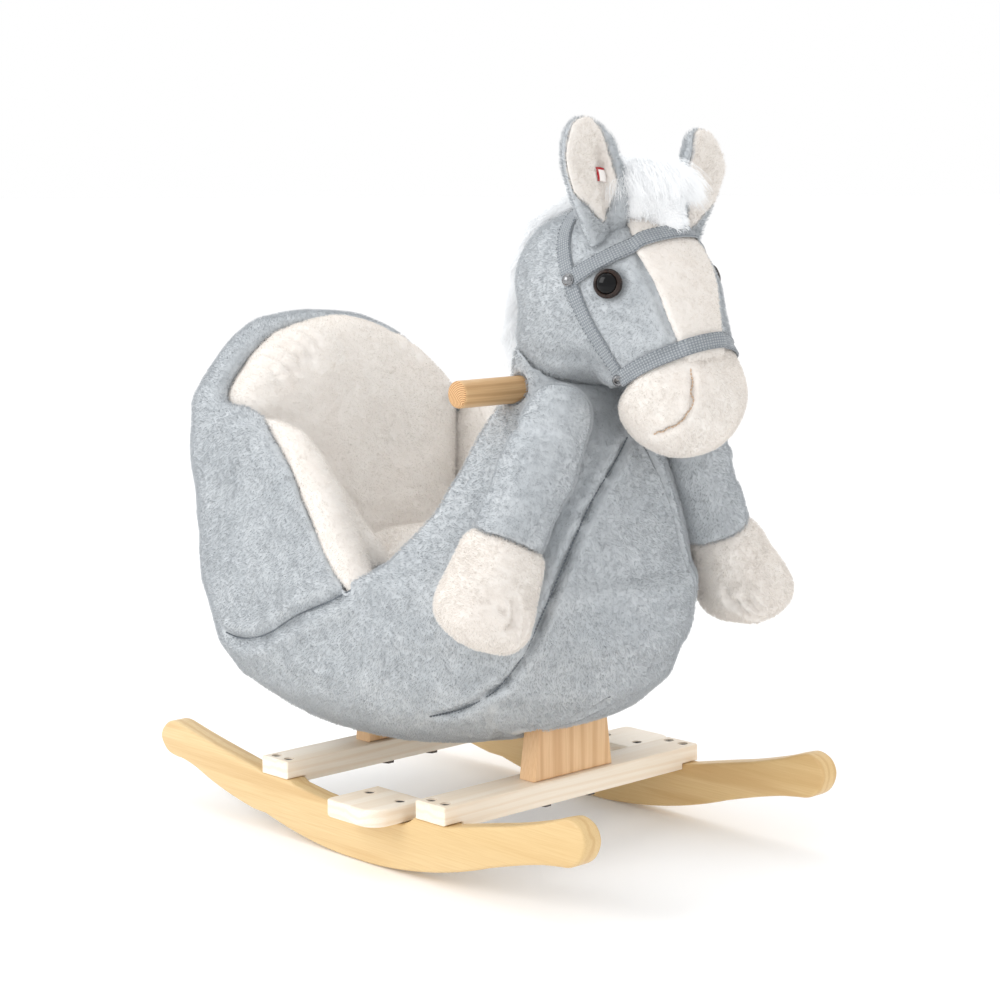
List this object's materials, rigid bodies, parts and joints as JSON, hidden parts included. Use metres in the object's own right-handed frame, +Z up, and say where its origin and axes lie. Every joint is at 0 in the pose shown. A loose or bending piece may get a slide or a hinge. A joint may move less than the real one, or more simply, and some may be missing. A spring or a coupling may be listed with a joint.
{
  "type": "plush rocking horse with seat",
  "caption": "Plush toy horse with a padded bucket seat, handle bar, swinging forelegs and bridle, carried on a wooden rocker base with footrests.",
  "frame": {"origin": "on the floor under the middle of the whole object's box", "axes": "+X forward, the way the horse faces; +Y to the horse's left; +Z up"},
  "size_m": [0.5786, 0.358, 0.6042],
  "materials": {
    "pine": "clear lacquered pine",
    "beech": "planed pale wood",
    "alder": "planed warm brown wood",
    "dowel": "turned and lacquered",
    "plywood": "sanded plywood",
    "steel": "zinc plated",
    "rivet": "bright plated",
    "grey_plush": "short light grey plush pile",
    "cream_plush": "short cream plush pile",
    "white_fur": "long white plush pile",
    "webbing": "ribbed grey webbing",
    "eye": "polished dark brown",
    "plastic": "moulded",
    "label": "woven, plain"
  },
  "bodies": {
    "horse": {"rocker_right": "pine", "footrest_right": "beech", "bar_screw_right_1": "steel", "bar_screw_right_2": "steel", "bar_screw_right_3": "steel", "bar_screw_right_4": "steel", "footrest_screw_right_1": "steel", "footrest_screw_right_2": "steel", "ear_right": "grey_plush", "ear_lining_right": "cream_plush", "wing_pad_right": "cream_plush", "eye_right": "eye", "rivet_upper_right": "rivet", "rivet_lower_right": "rivet", "rocker_left": "pine", "footrest_left": "beech", "bar_screw_left_1": "steel", "bar_screw_left_2": "steel", "bar_screw_left_3": "steel", "bar_screw_left_4": "steel", "footrest_screw_left_1": "steel", "footrest_screw_left_2": "steel", "ear_left": "grey_plush", "ear_lining_left": "cream_plush", "wing_pad_left": "cream_plush", "eye_left": "eye", "rivet_upper_left": "rivet", "rivet_lower_left": "rivet", "crossbar_front": "beech", "riser_front": "alder", "riser_bolt_front_1": "steel", "riser_bolt_front_2": "steel", "crossbar_rear": "beech", "riser_rear": "alder", "riser_bolt_rear_1": "steel", "riser_bolt_rear_2": "steel", "seat_board": "plywood", "neck_post": "plywood", "backrest_board": "plywood", "handle_bar": "dowel", "handle_pin": "steel", "body_cover": "grey_plush", "head": "grey_plush", "muzzle": "cream_plush", "blaze": "cream_plush", "seat_cushion": "cream_plush", "backrest_pad": "cream_plush", "mane": "white_fur", "forelock": "white_fur", "tail": "white_fur", "browband": "webbing", "noseband": "webbing", "headstall": "webbing", "sound_unit": "plastic", "ear_label": "label"},
    "foreleg_right": {"foreleg_right": "grey_plush", "hoof_right": "cream_plush"},
    "foreleg_left": {"foreleg_left": "grey_plush", "hoof_left": "cream_plush"},
    "sound_button": {"sound_button": "plastic"}
  },
  "joints": [
    {"name": "foreleg_right_swing", "type": "hinge", "parent": "horse", "child": "foreleg_right", "pos_m": [0.17558, -0.064, 0.388], "axis": [-1, 0, 0], "range_deg": [0, 60]},
    {"name": "foreleg_left_swing", "type": "hinge", "parent": "horse", "child": "foreleg_left", "pos_m": [0.17558, 0.06, 0.388], "axis": [1, 0, 0], "range_deg": [0, 60]},
    {"name": "sound_button_press", "type": "slide", "parent": "horse", "child": "sound_button", "axis": [-0.9946, 0.0998, -0.03], "range_m": [0, 0.0015], "stiffness_N_per_m": 400}
  ]
}
